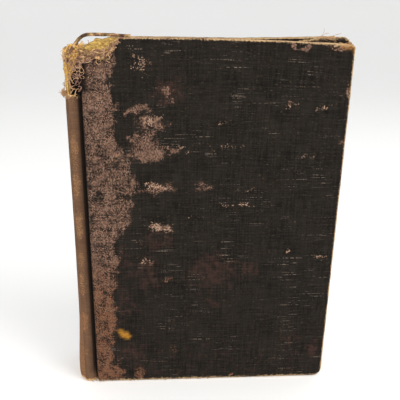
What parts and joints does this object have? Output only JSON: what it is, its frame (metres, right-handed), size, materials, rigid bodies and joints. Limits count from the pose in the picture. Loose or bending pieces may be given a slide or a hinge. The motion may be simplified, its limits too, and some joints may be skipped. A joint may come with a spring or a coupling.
{
  "type": "prayer book",
  "caption": "Small cloth-bound prayer book standing upright, with two hinged covers, a rounded hollow spine and sewn leaves that fan open as a cover opens.",
  "frame": {"origin": "centre of the bounding box at the surface that the book stands on", "axes": "+Z from the tail edge up to the head, +X from the spine to the fore-edge, +Y from the front cover to the back cover"},
  "size_m": [0.124, 0.0292, 0.166],
  "materials": {
    "cover_cloth": "plain-woven book cloth, worn, matt",
    "spine_cloth": "the same book cloth faded and worn brown",
    "board": "mustard-yellow straw board, fibrous",
    "spine_card": "yellow-orange card, fibrous",
    "endpaper": "plain toned endpaper",
    "leaf_paper": "toned book paper, matt",
    "mull": "open-weave starched mull",
    "sewing_thread": "linen sewing thread"
  },
  "bodies": {
    "spine": {"spine_cloth": "spine_cloth", "spine_inlay": "spine_card", "spine_lining": "spine_card", "spine_mull": "mull", "sewn_backs": "leaf_paper", "kettle_stitch_head": "sewing_thread", "kettle_stitch_tail": "sewing_thread", "sewing_cord_1": "sewing_thread", "sewing_cord_2": "sewing_thread", "sewing_cord_3": "sewing_thread", "torn_cap_strip": "spine_cloth"},
    "front_cover": {"front_cloth": "cover_cloth", "front_board": "board", "front_mull_flap": "mull", "front_pastedown": "endpaper"},
    "back_cover": {"back_cloth": "cover_cloth", "back_board": "board", "back_mull_flap": "mull", "back_pastedown": "endpaper"},
    "front_endleaf": {"front_free_endpaper": "endpaper"},
    "back_endleaf": {"back_free_endpaper": "endpaper"},
    "leaves_01": {"gathering_01": "leaf_paper"},
    "leaves_02": {"gathering_02": "leaf_paper"},
    "leaves_03": {"gathering_03": "leaf_paper"},
    "leaves_04": {"gathering_04": "leaf_paper"},
    "leaves_05": {"gathering_05": "leaf_paper"},
    "leaves_06": {"gathering_06": "leaf_paper"},
    "leaves_07": {"gathering_07": "leaf_paper"},
    "leaves_08": {"gathering_08": "leaf_paper"},
    "leaves_09": {"gathering_09": "leaf_paper"},
    "leaves_10": {"gathering_10": "leaf_paper"},
    "leaves_11": {"gathering_11": "leaf_paper"},
    "leaves_12": {"gathering_12": "leaf_paper"},
    "leaves_13": {"gathering_13": "leaf_paper"},
    "leaves_14": {"gathering_14": "leaf_paper"},
    "leaves_15": {"gathering_15": "leaf_paper"},
    "leaves_16": {"gathering_16": "leaf_paper"}
  },
  "joints": [
    {"name": "front_cover_hinge", "type": "hinge", "parent": "spine", "child": "front_cover", "pos_m": [-0.056, -0.0146, 0.083], "axis": [0, 0, -1], "range_deg": [0, 178]},
    {"name": "back_cover_hinge", "type": "hinge", "parent": "spine", "child": "back_cover", "pos_m": [-0.056, 0.0146, 0.083], "axis": [0, 0, 1], "range_deg": [0, 178]},
    {"name": "front_endleaf_turn", "type": "hinge", "parent": "spine", "child": "front_endleaf", "pos_m": [-0.052, -0.01085, 0.083], "axis": [0, 0, -1], "range_deg": [0, 89]},
    {"name": "back_endleaf_turn", "type": "hinge", "parent": "spine", "child": "back_endleaf", "pos_m": [-0.052, 0.01085, 0.083], "axis": [0, 0, 1], "range_deg": [0, 89]},
    {"name": "leaves_01_turn", "type": "hinge", "parent": "spine", "child": "leaves_01", "pos_m": [-0.052, -0.01085, 0.083], "axis": [0, 0, -1], "range_deg": [0, 81.88]},
    {"name": "leaves_02_turn", "type": "hinge", "parent": "spine", "child": "leaves_02", "pos_m": [-0.052, -0.01085, 0.083], "axis": [0, 0, -1], "range_deg": [0, 72.09]},
    {"name": "leaves_03_turn", "type": "hinge", "parent": "spine", "child": "leaves_03", "pos_m": [-0.052, -0.01085, 0.083], "axis": [0, 0, -1], "range_deg": [0, 62.3]},
    {"name": "leaves_04_turn", "type": "hinge", "parent": "spine", "child": "leaves_04", "pos_m": [-0.052, -0.01085, 0.083], "axis": [0, 0, -1], "range_deg": [0, 52.51]},
    {"name": "leaves_05_turn", "type": "hinge", "parent": "spine", "child": "leaves_05", "pos_m": [-0.052, -0.01085, 0.083], "axis": [0, 0, -1], "range_deg": [0, 42.72]},
    {"name": "leaves_06_turn", "type": "hinge", "parent": "spine", "child": "leaves_06", "pos_m": [-0.052, -0.01085, 0.083], "axis": [0, 0, -1], "range_deg": [0, 32.93]},
    {"name": "leaves_07_turn", "type": "hinge", "parent": "spine", "child": "leaves_07", "pos_m": [-0.052, -0.01085, 0.083], "axis": [0, 0, -1], "range_deg": [0, 23.14]},
    {"name": "leaves_08_turn", "type": "hinge", "parent": "spine", "child": "leaves_08", "pos_m": [-0.052, -0.01085, 0.083], "axis": [0, 0, -1], "range_deg": [0, 13.35]},
    {"name": "leaves_09_turn", "type": "hinge", "parent": "spine", "child": "leaves_09", "pos_m": [-0.052, 0.01085, 0.083], "axis": [0, 0, 1], "range_deg": [0, 13.35]},
    {"name": "leaves_10_turn", "type": "hinge", "parent": "spine", "child": "leaves_10", "pos_m": [-0.052, 0.01085, 0.083], "axis": [0, 0, 1], "range_deg": [0, 23.14]},
    {"name": "leaves_11_turn", "type": "hinge", "parent": "spine", "child": "leaves_11", "pos_m": [-0.052, 0.01085, 0.083], "axis": [0, 0, 1], "range_deg": [0, 32.93]},
    {"name": "leaves_12_turn", "type": "hinge", "parent": "spine", "child": "leaves_12", "pos_m": [-0.052, 0.01085, 0.083], "axis": [0, 0, 1], "range_deg": [0, 42.72]},
    {"name": "leaves_13_turn", "type": "hinge", "parent": "spine", "child": "leaves_13", "pos_m": [-0.052, 0.01085, 0.083], "axis": [0, 0, 1], "range_deg": [0, 52.51]},
    {"name": "leaves_14_turn", "type": "hinge", "parent": "spine", "child": "leaves_14", "pos_m": [-0.052, 0.01085, 0.083], "axis": [0, 0, 1], "range_deg": [0, 62.3]},
    {"name": "leaves_15_turn", "type": "hinge", "parent": "spine", "child": "leaves_15", "pos_m": [-0.052, 0.01085, 0.083], "axis": [0, 0, 1], "range_deg": [0, 72.09]},
    {"name": "leaves_16_turn", "type": "hinge", "parent": "spine", "child": "leaves_16", "pos_m": [-0.052, 0.01085, 0.083], "axis": [0, 0, 1], "range_deg": [0, 81.88]}
  ],
  "couplings": [
    {"joint": "front_endleaf_turn", "follows": "front_cover_hinge", "ratio": 0.5},
    {"joint": "back_endleaf_turn", "follows": "back_cover_hinge", "ratio": 0.5},
    {"joint": "leaves_01_turn", "follows": "front_cover_hinge", "ratio": 0.46},
    {"joint": "leaves_02_turn", "follows": "front_cover_hinge", "ratio": 0.405},
    {"joint": "leaves_03_turn", "follows": "front_cover_hinge", "ratio": 0.35},
    {"joint": "leaves_04_turn", "follows": "front_cover_hinge", "ratio": 0.295},
    {"joint": "leaves_05_turn", "follows": "front_cover_hinge", "ratio": 0.24},
    {"joint": "leaves_06_turn", "follows": "front_cover_hinge", "ratio": 0.185},
    {"joint": "leaves_07_turn", "follows": "front_cover_hinge", "ratio": 0.13},
    {"joint": "leaves_08_turn", "follows": "front_cover_hinge", "ratio": 0.075},
    {"joint": "leaves_09_turn", "follows": "back_cover_hinge", "ratio": 0.075},
    {"joint": "leaves_10_turn", "follows": "back_cover_hinge", "ratio": 0.13},
    {"joint": "leaves_11_turn", "follows": "back_cover_hinge", "ratio": 0.185},
    {"joint": "leaves_12_turn", "follows": "back_cover_hinge", "ratio": 0.24},
    {"joint": "leaves_13_turn", "follows": "back_cover_hinge", "ratio": 0.295},
    {"joint": "leaves_14_turn", "follows": "back_cover_hinge", "ratio": 0.35},
    {"joint": "leaves_15_turn", "follows": "back_cover_hinge", "ratio": 0.405},
    {"joint": "leaves_16_turn", "follows": "back_cover_hinge", "ratio": 0.46}
  ]
}
